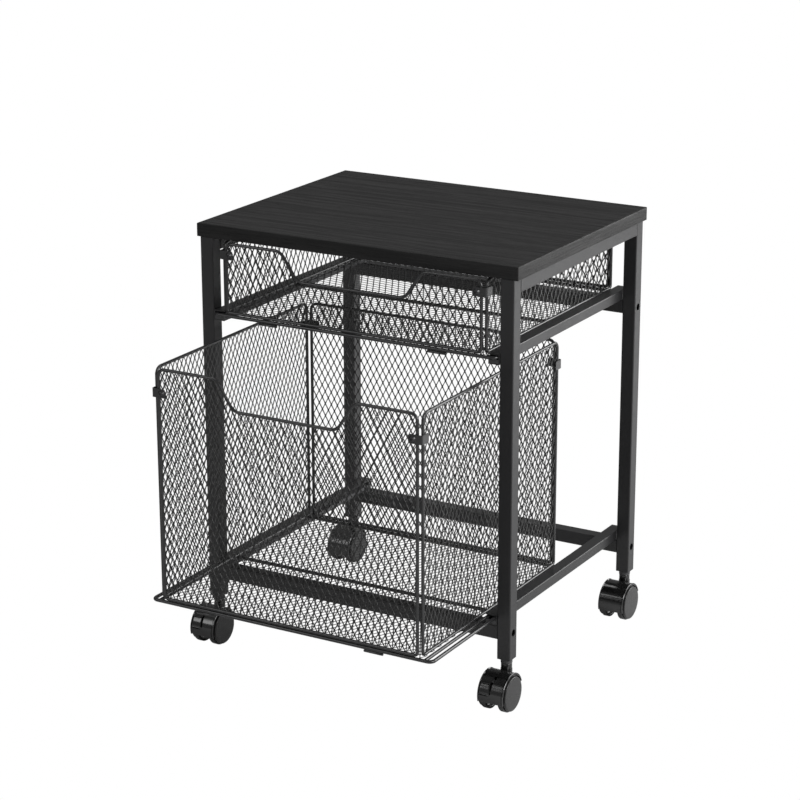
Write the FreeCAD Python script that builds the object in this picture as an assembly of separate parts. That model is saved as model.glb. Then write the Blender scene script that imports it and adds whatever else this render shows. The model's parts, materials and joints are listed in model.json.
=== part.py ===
import FreeCAD, Part
import os
from math import cos, radians, sin, tan

# Mobile printer stand: a steel tube frame on four casters with a wooden board on top, and two
# wire mesh drawers whose base wires run in C-section channels.
# Millimetres. +X is right, -Y is the front, +Z is up. The origin is on the floor, midway
# between the four legs.

# Frame
tube_size = 16.0
tube_wall = 1.2
tube_edge = 1.4
tube_inner_edge = 0.45
frame_width = 391.0
frame_depth = 316.0
leg_foot = 54.5
board_width = 400.0
board_thickness = 15.0
board_edge_chamfer = 0.6
stand_height = 494.0
lower_crossbar_base = 77.0
upper_crossbar_base = 370.0

# Channels and the plastic strips in them
channel_height = 12.0
channel_reach = 13.5
channel_wall = 1.5
channel_bend = 1.2
strip_top = 5.4
stop_length = 7.0

# Fasteners of the frame
bolt_radius = 2.5
bolt_head_radius = 3.7
bolt_head_height = 4.0
bolt_length = 12.0
bolt_socket_radius = 1.6
bolt_socket_depth = 2.5
access_hole_radius = 4.0
end_plug_length = 14.0
screw_radius = 2.0
screw_grip = 25.0
screw_head_radius = 4.0
screw_head_height = 2.4
screw_head_round = 1.2
screw_spacing = 220.0

# Drawers: one footprint, two heights
closed_front = -161.0
drawer_depth = 307.0
lower_drawer_pull = 134.0
runner_radius = 2.0
panel_radius = 1.75
runner_half_width = 176.0
runner_corner = 6.0
inner_runner_half_width = 167.3
side_panel_half_width = 163.5
front_post_half_width = 159.0
post_setback = 3.2
runner_above_channel = 7.75
mesh_thickness = 0.4
floor_mesh_half_width = 166.3
lower_panel_top = 367.7
lower_dip_floor = 334.7
lower_clip_base = 336.4
lower_dip_half_width = 63.5
upper_panel_top = 475.9
upper_dip_floor = 444.2
upper_clip_base = 458.5
upper_dip_half_width = 67.0
dip_flare = 21.5
dip_radius = 14.0
panel_corner = 8.0
panel_foot_corner = 4.0
stop_bar_radius = 1.5
stop_bar_length = 24.0
stop_bar_offset = 106.0

# Corner clips of the drawers
clip_thickness = 1.0
clip_height = 9.9
clip_front_reach = 149.5
clip_side_reach = 13.6
clip_bend = 1.0
clip_screw_offset = 154.3
clip_screw_radius = 1.5
clip_nut_radius = 2.8
clip_nut_height = 2.2
clip_screw_overhang = 0.6
clip_head_radius = 3.8
clip_head_height = 2.5

# Casters
wheel_radius = 20.9
caster_trail = 15.2
wheel_inner_face = 7.5
wheel_outer_face = 17.25
wheel_shoulder = 2.2
wheel_face_dome = 0.35
wheel_hub_radius = 7.0
wheel_hub_draft = 0.6
wheel_recess = 5.0
wheel_rim = 3.0
wheel_edge = 0.4
hood_half_width = 15.5
hood_inner_radius = 21.8
hood_outer_radius = 23.4
hood_back_angle = 20.0
hood_front_angle = 196.0
web_half_thickness = 1.8
web_setback = 14.0
neck_radius = 6.5
neck_foot = 40.5
neck_top = 49.4
stem_radius = 3.5
stem_socket_radius = 5.2
stem_foot = 26.0
socket_floor = 2.0
stem_end_gap = 0.3
stem_top_gap = 4.0
axle_radius = 2.5
axle_setback = 1.0
wheel_bore_setback = 0.5
running_gap = 0.05
clear_gap = 0.35
insert_collar_foot = 49.8
insert_length = 22.0
lever_top_angle = 138.0
lever_pin_angle = 172.0
lever_inner_side = 1.6
lever_outer_side = 14.2
lever_pin_radius = 0.45
lever_foot_space = 4.0
lever_lip = 2.0
lever_lip_angle = 4.0
lever_top_gap_angle = 1.0
lever_pin_inset = 0.3
lever_pin_reach = 0.6

# Worked out from the above
half_width = frame_width / 2
half_depth = frame_depth / 2
inner_face = half_width - tube_size
leg_x = half_width - tube_size / 2
leg_y = half_depth - tube_size / 2
board_base = stand_height - board_thickness
rail_base = board_base - tube_size
lower_channel_base = lower_crossbar_base + tube_size
upper_channel_base = upper_crossbar_base + tube_size
lower_runner_level = lower_channel_base + runner_above_channel
upper_runner_level = upper_channel_base + runner_above_channel
panel_foot = runner_radius + mesh_thickness + panel_radius
hood_middle_radius = (hood_inner_radius + hood_outer_radius) / 2

# Lengths that only serve the modelling: a cut's overshoot, a weld's sink and a selection's reach
overshoot = 1.0
sink = 0.5
tolerance = 0.1

X_AXIS = FreeCAD.Vector(1, 0, 0)
Y_AXIS = FreeCAD.Vector(0, 1, 0)
Z_AXIS = FreeCAD.Vector(0, 0, 1)
ORIGIN = FreeCAD.Vector(0, 0, 0)


def save(name, *solids):
    """Write one node as a STEP file of one or more closed solids."""
    shape = solids[0] if len(solids) == 1 else Part.makeCompound(list(solids))
    shape.exportStep(f"parts/{name}.step")


def block(x_span, y_span, z_span):
    """A box between two X, two Y and two Z values."""
    corner = FreeCAD.Vector(min(x_span), min(y_span), min(z_span))
    lengths = [abs(span[1] - span[0]) for span in (x_span, y_span, z_span)]
    return Part.makeBox(*lengths, corner)


def cylinder(radius, start, axis, length):
    """A round bar from its start along an axis."""
    return Part.makeCylinder(radius, length, FreeCAD.Vector(*start), axis)


def mirrored(shape):
    """The shape on the other side, left for right."""
    return shape.mirror(ORIGIN, X_AXIS)


def moved(shape, x=0.0, y=0.0, z=0.0):
    """A copy of the shape at another place."""
    copy = shape.copy()
    copy.translate(FreeCAD.Vector(x, y, z))
    return copy


def fillet_points(corners, radii):
    """Tangent and middle points of the arc that rounds each corner of a polyline."""
    rounded = []
    count = len(corners)
    for index, corner in enumerate(corners):
        if radii[index] == 0:
            rounded.append((corner, None, corner))
            continue
        back = (corners[index - 1] - corner).normalize()
        ahead = (corners[(index + 1) % count] - corner).normalize()
        half_angle = back.getAngle(ahead) / 2
        bisector = (back + ahead).normalize()
        tangent = radii[index] / tan(half_angle)
        middle = corner + bisector * (radii[index] / sin(half_angle) - radii[index])
        rounded.append((corner + back * tangent, middle, corner + ahead * tangent))
    return rounded


def rounded_path(corners, radii):
    """A closed path through the corners, with each one rounded to its radius."""
    points = [FreeCAD.Vector(*corner) for corner in corners]
    rounded = fillet_points(points, radii)
    edges = []
    for index, (start, middle, end) in enumerate(rounded):
        if middle is not None:
            edges.append(Part.Arc(start, middle, end).toShape())
        following_start = rounded[(index + 1) % len(rounded)][0]
        if end.distanceToPoint(following_start) > 0.001:
            edges.append(Part.makeLine(end, following_start))
    return Part.Wire(Part.__sortEdges__(edges))


def bent_wire(path, radius):
    """Round wire bent along a path."""
    first_edge = path.OrderedEdges[0]
    start = first_edge.valueAt(first_edge.FirstParameter)
    direction = first_edge.tangentAt(first_edge.FirstParameter)
    profile = Part.Wire(Part.makeCircle(radius, start, direction))
    return path.makePipeShell([profile], True, False)


def hexagon(radius):
    """Corner points of a hexagon around the origin, in its own plane."""
    turns = [radians(60 * turn) for turn in range(6)]
    return [(radius * cos(turn), radius * sin(turn)) for turn in turns]


def rounded_rectangle(width, height, corner):
    """Corner points and radii of a rectangle around the origin, in its own plane."""
    half_w = width / 2
    half_h = height / 2
    points = [(-half_w, -half_h), (half_w, -half_h), (half_w, half_h), (-half_w, half_h)]
    return points, [corner] * 4


def square_tube(length, axis):
    """Hollow square tube around the given axis, starting at the origin."""
    faces = []
    for size, corner in ((tube_size, tube_edge), (tube_size - 2 * tube_wall, tube_inner_edge)):
        points, radii = rounded_rectangle(size, size, corner)
        if axis is Z_AXIS:
            corners = [(u, v, 0) for u, v in points]
        elif axis is X_AXIS:
            corners = [(0, u, v) for u, v in points]
        else:
            corners = [(u, 0, v) for u, v in points]
        faces.append(Part.Face(rounded_path(corners, radii)))
    outer, inner = [face.extrude(axis * length) for face in faces]
    return outer.cut(inner)


# Frame ----------------------------------------------------------------------------------------


def leg(bolt_levels):
    """Right leg at the origin's X and Y, with an access hole and a bolt hole at each level."""
    tube = moved(square_tube(board_base - leg_foot, Z_AXIS), z=leg_foot)
    for level in bolt_levels:
        tube = tube.cut(cylinder(access_hole_radius, (0, 0, level), X_AXIS, tube_size))
        tube = tube.cut(cylinder(bolt_radius, (-tube_size, 0, level), X_AXIS, tube_size))
    return tube


def crossbar(base):
    """Tube between the legs, with a threaded plug welded into each end."""
    bar = moved(square_tube(2 * inner_face, X_AXIS), x=-inner_face, z=base + tube_size / 2)
    plug_half = tube_size / 2 - tube_wall
    middle = base + tube_size / 2
    for side in (-1, 1):
        x_span = (side * inner_face, side * (inner_face - end_plug_length))
        plug = block(x_span, (-plug_half, plug_half), (middle - plug_half, middle + plug_half))
        bar = bar.fuse(plug)
    for side in (-1, 1):
        bar = bar.cut(cylinder(bolt_radius, (side * inner_face, 0, middle), X_AXIS * -side, bolt_length))
    return bar.removeSplitter()


def crossbar_bolt(level):
    """Socket bolt at the right leg: its head is inside the tube, against the inner wall."""
    seat = inner_face + tube_wall
    head = cylinder(bolt_head_radius, (seat, 0, level), X_AXIS, bolt_head_height)
    face_x = seat + bolt_head_height
    corners = [(face_x, u, level + v) for u, v in hexagon(bolt_socket_radius)]
    socket = Part.Face(rounded_path(corners, [0] * 6)).extrude(X_AXIS * -bolt_socket_depth)
    shank = cylinder(bolt_radius, (seat, 0, level), X_AXIS * -1, bolt_length + tube_wall)
    return head.cut(socket).fuse(shank)


def board_screw(x, y):
    """Pan head screw up through a top rail into the board."""
    shank = cylinder(screw_radius, (x, y, rail_base), Z_AXIS, screw_grip)
    head = cylinder(screw_head_radius, (x, y, rail_base - screw_head_height), Z_AXIS, screw_head_height)
    rim = [edge for edge in head.Edges if edge.BoundBox.ZMax < rail_base - tolerance and edge.Closed]
    head = head.makeFillet(screw_head_round, rim)
    return head.fuse(shank)


def screw_places():
    """X and Y of the four board screws."""
    return [(side * leg_x, end * screw_spacing / 2) for side in (-1, 1) for end in (-1, 1)]


def build_board():
    x_span = (-board_width / 2, board_width / 2)
    board = block(x_span, (-half_depth, half_depth), (board_base, stand_height))
    for x, y in screw_places():
        depth = screw_grip - tube_size
        board = board.cut(cylinder(screw_radius, (x, y, board_base), Z_AXIS, depth))
    top_edges = [edge for edge in board.Edges if edge.BoundBox.ZMin > stand_height - tolerance]
    save("top_board", board.makeChamfer(board_edge_chamfer, top_edges))


def build_top_rails():
    length = frame_depth - 2 * tube_size
    rail = moved(square_tube(length, Y_AXIS), x=leg_x, y=-length / 2, z=rail_base + tube_size / 2)
    for end in (-1, 1):
        start = (leg_x, end * screw_spacing / 2, rail_base)
        rail = rail.cut(cylinder(screw_radius, start, Z_AXIS, tube_size))
    save("top_rail_right", rail)
    save("top_rail_left", mirrored(rail))


def build_legs_and_crossbars():
    lower_level = lower_crossbar_base + tube_size / 2
    upper_level = upper_crossbar_base + tube_size / 2
    ends = {"front": (-leg_y, [lower_level]), "back": (leg_y, [lower_level, upper_level])}
    bolts = []
    for end, (y, levels) in ends.items():
        right_leg = moved(leg(levels), x=leg_x, y=y)
        save(f"leg_{end}_right", right_leg)
        save(f"leg_{end}_left", mirrored(right_leg))
        for level in levels:
            right_bolt = moved(crossbar_bolt(level), y=y)
            bolts += [right_bolt, mirrored(right_bolt)]
    save("lower_front_crossbar", moved(crossbar(lower_crossbar_base), y=-leg_y))
    save("lower_back_crossbar", moved(crossbar(lower_crossbar_base), y=leg_y))
    save("upper_back_crossbar", moved(crossbar(upper_crossbar_base), y=leg_y))
    screws = [board_screw(x, y) for x, y in screw_places()]
    save("frame_fasteners", *bolts, *screws)


def channel_section(base):
    """C-section channel on the right, open towards the middle of the stand."""
    y_span = (-half_depth, half_depth)
    mouth_edge = inner_face - channel_reach
    outer = block((mouth_edge, inner_face), y_span, (base, base + channel_height))
    mouth_z = (base + channel_wall, base + channel_height - channel_wall)
    mouth = block((mouth_edge, inner_face - channel_wall), y_span, mouth_z)
    back_edges = [
        edge for edge in outer.Edges
        if edge.Length > frame_depth - tolerance and edge.BoundBox.XMin > inner_face - tolerance
    ]
    return outer.makeFillet(channel_bend, back_edges).cut(mouth)


def channel_strip(base):
    """Plastic strip along the channel's floor, with a stop block at the back end."""
    x_span = (inner_face - channel_reach, inner_face - channel_wall)
    floor = base + channel_wall
    strip = block(x_span, (-half_depth, half_depth), (floor, base + strip_top))
    stop_top = base + channel_height - channel_wall
    stop = block(x_span, (half_depth - stop_length, half_depth), (floor, stop_top))
    return strip.fuse(stop).removeSplitter()


def build_channels():
    strips = []
    for level, base in (("lower", lower_channel_base), ("upper", upper_channel_base)):
        right = channel_section(base)
        save(f"{level}_channel_right", right)
        save(f"{level}_channel_left", mirrored(right))
        strips += [channel_strip(base), mirrored(channel_strip(base))]
    save("channel_strips", *strips)


# Drawers --------------------------------------------------------------------------------------


def base_wires(front, level):
    """Outer runner wire, a cross wire, the inner runners butted to both, and the stop bars below."""
    back = front + drawer_depth
    half = runner_half_width
    corners = [(0, front), (half, front), (half, back), (-half, back), (-half, front)]
    radii = [0] + [runner_corner] * 4
    wires = [bent_wire(rounded_path([(x, y, level) for x, y in corners], radii), runner_radius)]
    reach = inner_runner_half_width - runner_radius
    wires.append(cylinder(runner_radius, (-reach, (front + back) / 2, level), X_AXIS, 2 * reach))
    for side in (-1, 1):
        start = (side * inner_runner_half_width, front + runner_radius, level)
        wires.append(cylinder(runner_radius, start, Y_AXIS, drawer_depth - 2 * runner_radius))
    bar_level = level - runner_radius - stop_bar_radius
    for side in (-1, 1):
        start = (side * stop_bar_offset - stop_bar_length / 2, front, bar_level)
        wires.append(cylinder(stop_bar_radius, start, X_AXIS, stop_bar_length))
    return wires


def front_outline(foot, top, dip, dip_half_width):
    """Corners and radii of the front panel's wire, with the dip that serves as a handle."""
    half = front_post_half_width
    right = [(half, foot), (half, top), (dip_half_width + dip_flare, top), (dip_half_width, dip)]
    left = [(-x, z) for x, z in reversed(right)]
    radii = [panel_foot_corner, panel_corner, dip_radius, dip_radius]
    return [(0, foot)] + right + left, [0] + radii + radii[::-1]


def plain_outline(half, foot, top):
    """Corners and radii of a panel's wire without a dip."""
    points = [(0, foot), (half, foot), (half, top), (-half, top), (-half, foot)]
    return points, [0, panel_foot_corner, panel_corner, panel_corner, panel_foot_corner]


def panel(outline, place):
    """The wire round a panel, and the thin mesh sheet that fills it."""
    points, radii = outline
    path = rounded_path([place(u, v) for u, v in points], radii)
    wire = bent_wire(path, panel_radius)
    face = Part.Face(path).makeOffset2D(-panel_radius)
    if not isinstance(face, Part.Face):
        face = face.Faces[0]
    normal = face.normalAt(0, 0)
    sheet = face.extrude(normal * mesh_thickness)
    sheet.translate(normal * (-mesh_thickness / 2))
    return wire, sheet


def clip(front, base):
    """Bent strip round the two posts of the right front corner, its screw and its nut."""
    back_face = front - panel_radius
    outer = back_face - clip_thickness
    inner_x = side_panel_half_width + panel_radius
    z_span = (base, base + clip_height)
    front_tab = block((clip_front_reach, inner_x + clip_thickness), (outer, back_face), z_span)
    side_tab = block((inner_x, inner_x + clip_thickness), (outer, outer + clip_side_reach), z_span)
    strip = front_tab.fuse(side_tab).removeSplitter()
    bends = ((inner_x, back_face, clip_bend), (inner_x + clip_thickness, outer, clip_bend + clip_thickness))
    for x, y, radius in bends:
        upright = [
            edge for edge in strip.Edges
            if abs(edge.BoundBox.XMin - x) < tolerance and abs(edge.BoundBox.XMax - x) < tolerance
            and abs(edge.BoundBox.YMin - y) < tolerance and abs(edge.BoundBox.YMax - y) < tolerance
        ]
        strip = strip.makeFillet(radius, upright)
    middle = base + clip_height / 2
    start = (clip_screw_offset, outer - overshoot, middle)
    hole = cylinder(clip_screw_radius, start, Y_AXIS, clip_thickness + 2 * overshoot)
    return strip.cut(hole), clip_screw(front, outer, middle)


def clip_screw(front, outer, middle):
    """Round head screw through the clip and the mesh, with a nut inside the drawer."""
    x = clip_screw_offset
    ball_radius = (clip_head_radius ** 2 + clip_head_height ** 2) / (2 * clip_head_height)
    ball_centre = FreeCAD.Vector(x, outer + ball_radius - clip_head_height, middle)
    head_start = (x, outer - clip_head_height - overshoot, middle)
    around = cylinder(clip_head_radius + overshoot, head_start, Y_AXIS, clip_head_height + overshoot)
    head = Part.makeSphere(ball_radius, ball_centre).common(around)
    mesh_back = front + mesh_thickness / 2
    length = mesh_back - outer + clip_nut_height + clip_screw_overhang
    shank = cylinder(clip_screw_radius, (x, outer, middle), Y_AXIS, length)
    corners = [(x + u, mesh_back, middle + v) for u, v in hexagon(clip_nut_radius)]
    nut = Part.Face(rounded_path(corners, [0] * 6)).extrude(Y_AXIS * clip_nut_height)
    return head.fuse([shank, nut])


def four_corners(shape, front):
    """The right front corner's shape, repeated at the drawer's other three corners."""
    middle = FreeCAD.Vector(0, front + drawer_depth / 2, 0)
    right = [shape, shape.mirror(middle, Y_AXIS)]
    return right + [mirrored(solid) for solid in right]


def build_drawer(name, front, level, top, dip, dip_half_width, clip_base):
    """One drawer: base wires, floor mesh, four wire panels with their meshes, and corner clips."""
    back = front + drawer_depth
    foot = level + panel_foot
    save(f"{name}_base_wires", *base_wires(front, level))

    mesh_level = level + runner_radius
    floor_x = (-floor_mesh_half_width, floor_mesh_half_width)
    floor = block(floor_x, (front, back), (mesh_level, mesh_level + mesh_thickness))
    save(f"{name}_floor_mesh", floor)

    clip_strip, screw = clip(front, clip_base)
    save(f"{name}_corner_clips", *four_corners(clip_strip, front))
    save(f"{name}_clip_screws", *four_corners(screw, front))
    screw_level = clip_base + clip_height / 2
    hole_start = front - overshoot
    hole_length = drawer_depth + 2 * overshoot
    screw_holes = [
        cylinder(clip_screw_radius, (x, hole_start, screw_level), Y_AXIS, hole_length)
        for x in (-clip_screw_offset, clip_screw_offset)
    ]

    wire, sheet = panel(front_outline(foot, top, dip, dip_half_width), lambda u, v: (u, front, v))
    save(f"{name}_front_wire", wire)
    save(f"{name}_front_mesh", sheet.cut(screw_holes))

    wire, sheet = panel(plain_outline(front_post_half_width, foot, top), lambda u, v: (u, back, v))
    save(f"{name}_back_wire", wire)
    save(f"{name}_back_mesh", sheet.cut(screw_holes))

    side_half = drawer_depth / 2 - post_setback
    middle = front + drawer_depth / 2
    outline = plain_outline(side_half, foot, top)
    wire, sheet = panel(outline, lambda u, v: (side_panel_half_width, middle + u, v))
    save(f"{name}_right_wire", wire)
    save(f"{name}_right_mesh", sheet)
    save(f"{name}_left_wire", mirrored(wire))
    save(f"{name}_left_mesh", mirrored(sheet))


# Casters --------------------------------------------------------------------------------------


def on_barrel(radius, angle):
    """Y and Z of a point round the wheel axle, with the angle from +Y upwards."""
    turn = radians(angle)
    return radius * cos(turn) - caster_trail, radius * sin(turn) + wheel_radius


def barrel_piece(inner, outer, start_angle, end_angle, x_span):
    """Part of a tube round the wheel axle."""
    middle_angle = (start_angle + end_angle) / 2
    rings = []
    for radius in (inner, outer):
        points = [on_barrel(radius, angle) for angle in (start_angle, middle_angle, end_angle)]
        rings.append([FreeCAD.Vector(x_span[0], y, z) for y, z in points])
    inner_ring, outer_ring = rings
    edges = [
        Part.Arc(*inner_ring).toShape(),
        Part.makeLine(inner_ring[2], outer_ring[2]),
        Part.Arc(*reversed(outer_ring)).toShape(),
        Part.makeLine(outer_ring[0], inner_ring[0]),
    ]
    face = Part.Face(Part.Wire(Part.__sortEdges__(edges)))
    return face.extrude(X_AXIS * (x_span[1] - x_span[0]))


def hood():
    """Barrel over both wheels, with a web for the axle and a socket for the stem between them."""
    width = (-hood_half_width, hood_half_width)
    barrel = barrel_piece(hood_inner_radius, hood_outer_radius, hood_back_angle, hood_front_angle, width)
    web_width = (-web_half_thickness, web_half_thickness)
    web_end = hood_front_angle - web_setback
    web = barrel_piece(sink, hood_inner_radius + sink, hood_back_angle, web_end, web_width)
    boss_start = (-stem_socket_radius, -caster_trail, wheel_radius)
    boss = cylinder(stem_socket_radius, boss_start, X_AXIS, 2 * stem_socket_radius)
    socket_foot = stem_foot - socket_floor
    socket = cylinder(stem_socket_radius, (0, 0, socket_foot), Z_AXIS, neck_top - socket_foot)
    neck = cylinder(neck_radius, (0, 0, neck_foot), Z_AXIS, neck_top - neck_foot)
    body = barrel.fuse([web, boss, socket, neck]).removeSplitter()
    body = body.cut(cylinder(stem_radius + running_gap, (0, 0, stem_foot - stem_end_gap), Z_AXIS, neck_top))
    axle_start = (-hood_half_width, -caster_trail, wheel_radius)
    return body.cut(cylinder(axle_radius, axle_start, X_AXIS, 2 * hood_half_width))


def lever_window(body):
    """The hood with an opening for the brake lever and holes for its pins."""
    x_span = (-lever_outer_side, -lever_inner_side)
    radii = (hood_inner_radius - overshoot, hood_outer_radius + overshoot)
    window = barrel_piece(*radii, lever_top_angle, lever_pin_angle + lever_foot_space, x_span)
    y, z = on_barrel(hood_middle_radius, lever_pin_angle)
    hole_length = hood_half_width - lever_pin_reach + running_gap
    hole = cylinder(lever_pin_radius + running_gap, (-hood_half_width, y, z), X_AXIS, hole_length)
    return body.cut([window, hole])


def brake_lever():
    """Curved pedal in the hood's window, hinged on a pin at its lower end."""
    x_span = (-lever_outer_side + clear_gap, -lever_inner_side - clear_gap)
    top = lever_top_angle + lever_top_gap_angle
    plate = barrel_piece(hood_inner_radius, hood_outer_radius, top, lever_pin_angle, x_span)
    lip_end = top + lever_lip_angle
    lip = barrel_piece(hood_middle_radius, hood_outer_radius + lever_lip, top, lip_end, x_span)
    y, z = on_barrel(hood_middle_radius, lever_pin_angle)
    knuckle_radius = hood_outer_radius - hood_middle_radius
    knuckle = cylinder(knuckle_radius, (x_span[0], y, z), X_AXIS, x_span[1] - x_span[0])
    pin_start = (-hood_half_width + lever_pin_inset, y, z)
    pin_length = hood_half_width - lever_pin_inset - lever_pin_reach
    pin = cylinder(lever_pin_radius, pin_start, X_AXIS, pin_length)
    return plate.fuse([lip, knuckle, pin])


def wheel():
    """Right wheel of a twin caster: a tread, a recessed inner side and a slightly domed face."""
    shoulder_x = wheel_outer_face - wheel_face_dome - wheel_shoulder
    tread_edge = wheel_radius - wheel_shoulder
    recess_x = wheel_inner_face + wheel_recess
    rim_radius = wheel_radius - wheel_rim
    points = [
        (wheel_inner_face, 0), (wheel_inner_face, wheel_hub_radius),
        (recess_x, wheel_hub_radius + wheel_hub_draft), (recess_x, rim_radius),
        (wheel_inner_face, rim_radius), (wheel_inner_face, wheel_radius - wheel_edge),
        (wheel_inner_face + wheel_edge, wheel_radius), (shoulder_x, wheel_radius),
    ]
    corners = [FreeCAD.Vector(x, 0, radius) for x, radius in points]
    edges = [Part.makeLine(start, end) for start, end in zip(corners, corners[1:])]
    half_turn = wheel_shoulder * cos(radians(45))
    middle = FreeCAD.Vector(shoulder_x + half_turn, 0, tread_edge + half_turn)
    face_edge = FreeCAD.Vector(shoulder_x + wheel_shoulder, 0, tread_edge)
    face_middle = FreeCAD.Vector(wheel_outer_face, 0, 0)
    edges.append(Part.Arc(corners[-1], middle, face_edge).toShape())
    edges.append(Part.makeLine(face_edge, face_middle))
    edges.append(Part.makeLine(face_middle, corners[0]))
    profile = Part.Face(Part.Wire(Part.__sortEdges__(edges)))
    solid = profile.revolve(ORIGIN, X_AXIS, 360)
    bore_length = hood_half_width - wheel_bore_setback
    solid = solid.cut(cylinder(axle_radius + running_gap, (0, 0, 0), X_AXIS, bore_length))
    return moved(solid, y=-caster_trail, z=wheel_radius)


def build_casters():
    """Four swivel casters, the front pair with brake levers."""
    plain_hood = hood()
    braked_hood = lever_window(plain_hood)
    axle_end = hood_half_width - axle_setback
    axle = cylinder(axle_radius, (-axle_end, -caster_trail, wheel_radius), X_AXIS, 2 * axle_end)
    right_wheel = wheel()
    for end, y in (("front", -leg_y), ("back", leg_y)):
        for side, x in (("left", -leg_x), ("right", leg_x)):
            name = f"caster_{end}_{side}"
            body = braked_hood if end == "front" else plain_hood
            save(f"{name}_hood", moved(body, x, y))
            save(f"{name}_axle", moved(axle, x, y))
            save(f"{name}_wheel_left", moved(mirrored(right_wheel), x, y))
            save(f"{name}_wheel_right", moved(right_wheel, x, y))
            if end == "front":
                save(f"{name}_brake_lever", moved(brake_lever(), x, y))


def build_caster_mounts():
    """Plastic inserts in the legs' feet, and the stems that they hold."""
    inside = tube_size - 2 * tube_wall
    points, radii = rounded_rectangle(inside, inside, tube_inner_edge)
    face = Part.Face(rounded_path([(u, v, leg_foot) for u, v in points], radii))
    plug = face.extrude(Z_AXIS * insert_length)
    collar = cylinder(neck_radius, (0, 0, insert_collar_foot), Z_AXIS, leg_foot - insert_collar_foot)
    stem_top = leg_foot + insert_length - stem_top_gap
    bore = cylinder(stem_radius, (0, 0, insert_collar_foot), Z_AXIS, stem_top - insert_collar_foot)
    insert = plug.fuse(collar).cut(bore)
    stem = cylinder(stem_radius, (0, 0, stem_foot), Z_AXIS, stem_top - stem_foot)
    places = [(x, y) for x in (-leg_x, leg_x) for y in (-leg_y, leg_y)]
    save("leg_inserts", *[moved(insert, x, y) for x, y in places])
    save("caster_stems", *[moved(stem, x, y) for x, y in places])


os.makedirs("parts", exist_ok=True)
build_board()
build_top_rails()
build_legs_and_crossbars()
build_channels()
build_drawer(
    "lower_drawer", closed_front - lower_drawer_pull, lower_runner_level,
    lower_panel_top, lower_dip_floor, lower_dip_half_width, lower_clip_base,
)
build_drawer(
    "upper_drawer", closed_front, upper_runner_level,
    upper_panel_top, upper_dip_floor, upper_dip_half_width, upper_clip_base,
)
build_caster_mounts()
build_casters()
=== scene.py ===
import json
import math
import random

import bmesh
import bpy
from mathutils import Euler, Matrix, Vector


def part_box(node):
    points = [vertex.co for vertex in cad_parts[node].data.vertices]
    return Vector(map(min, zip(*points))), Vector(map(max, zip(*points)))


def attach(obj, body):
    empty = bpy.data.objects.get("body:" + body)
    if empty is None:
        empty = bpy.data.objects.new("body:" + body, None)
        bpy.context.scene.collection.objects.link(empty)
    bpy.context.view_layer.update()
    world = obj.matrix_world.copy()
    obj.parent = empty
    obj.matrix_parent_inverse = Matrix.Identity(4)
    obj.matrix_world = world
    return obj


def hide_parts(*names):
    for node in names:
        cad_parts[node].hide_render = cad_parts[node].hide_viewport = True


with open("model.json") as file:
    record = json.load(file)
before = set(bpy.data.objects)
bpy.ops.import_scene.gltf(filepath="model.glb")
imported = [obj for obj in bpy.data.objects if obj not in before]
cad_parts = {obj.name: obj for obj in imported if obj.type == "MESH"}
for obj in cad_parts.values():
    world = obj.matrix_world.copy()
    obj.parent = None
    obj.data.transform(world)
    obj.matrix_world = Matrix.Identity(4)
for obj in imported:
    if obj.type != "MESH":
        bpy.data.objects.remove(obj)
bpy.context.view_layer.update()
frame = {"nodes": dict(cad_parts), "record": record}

# Mobile printer stand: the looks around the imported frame. Metres, Z up, the front faces -Y.

mm = 0.001
xAxis, yAxis, zAxis = Vector((1, 0, 0)), Vector((0, 1, 0)), Vector((0, 0, 1))
meshRules = {
    "mergeDistance": 1e-7, "sharpAngle": 38.0,      # how a mesh is cleaned and shaded
    "wireStep": 40 * mm, "miterLimit": 0.5,         # cuts along a wire, and how far a bend may stretch it
    "sameValue": 1e-6,                              # closer grid lines count as one
}


def boxOf(node):
    low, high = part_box(node)
    return Vector(low), Vector(high)


def middleOf(node):
    low, high = boxOf(node)
    return (low + high) / 2


print("stage: frame loaded")

# ---- shared mesh helpers


def addPiece(name, shape, material, body, stands=(), smooth=True):
    # shape is (verts, faces); stands names the nodes that the piece is seen instead of
    mesh = bpy.data.meshes.new(name)
    mesh.from_pydata([tuple(v) for v in shape[0]], [], shape[1])
    piece = bpy.data.objects.new(name, mesh)
    bpy.context.scene.collection.objects.link(piece)
    work = bmesh.new()
    work.from_mesh(mesh)
    bmesh.ops.remove_doubles(work, verts=work.verts, dist=meshRules["mergeDistance"])
    bmesh.ops.recalc_face_normals(work, faces=work.faces)
    work.to_mesh(mesh)
    work.free()
    for face in mesh.polygons:
        face.use_smooth = smooth
    if smooth:
        mesh.set_sharp_from_angle(angle=math.radians(meshRules["sharpAngle"]))
    mesh.materials.append(material)
    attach(piece, body)
    if stands:
        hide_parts(*stands)


def joinMeshes(parts):
    # several (verts, faces) pairs as one
    verts, faces = [], []
    for partVerts, partFaces in parts:
        start = len(verts)
        verts += [Vector(v) for v in partVerts]
        faces += [[i + start for i in face] for face in partFaces]
    return verts, faces


def turnSteps(count):
    return [2 * math.pi * k / count for k in range(count)]


def bandFaces(first, second, count):
    # quads between two rings of count points, which start at vertices first and second
    faces = []
    for k in range(count):
        n = (k + 1) % count
        faces.append([first + k, first + n, second + n, second + k])
    return faces


def doubleSkin(cells, offset):
    # the cells, their copies offset vertices on, and a wall along every open edge
    faces, edges = [], {}
    for cell in cells:
        faces += [cell, [v + offset for v in reversed(cell)]]
        for k, a in enumerate(cell):
            b = cell[(k + 1) % len(cell)]
            if edges.pop((b, a), None) is None:
                edges[(a, b)] = True
    return faces + [[b, a, a + offset, b + offset] for a, b in edges]


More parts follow.
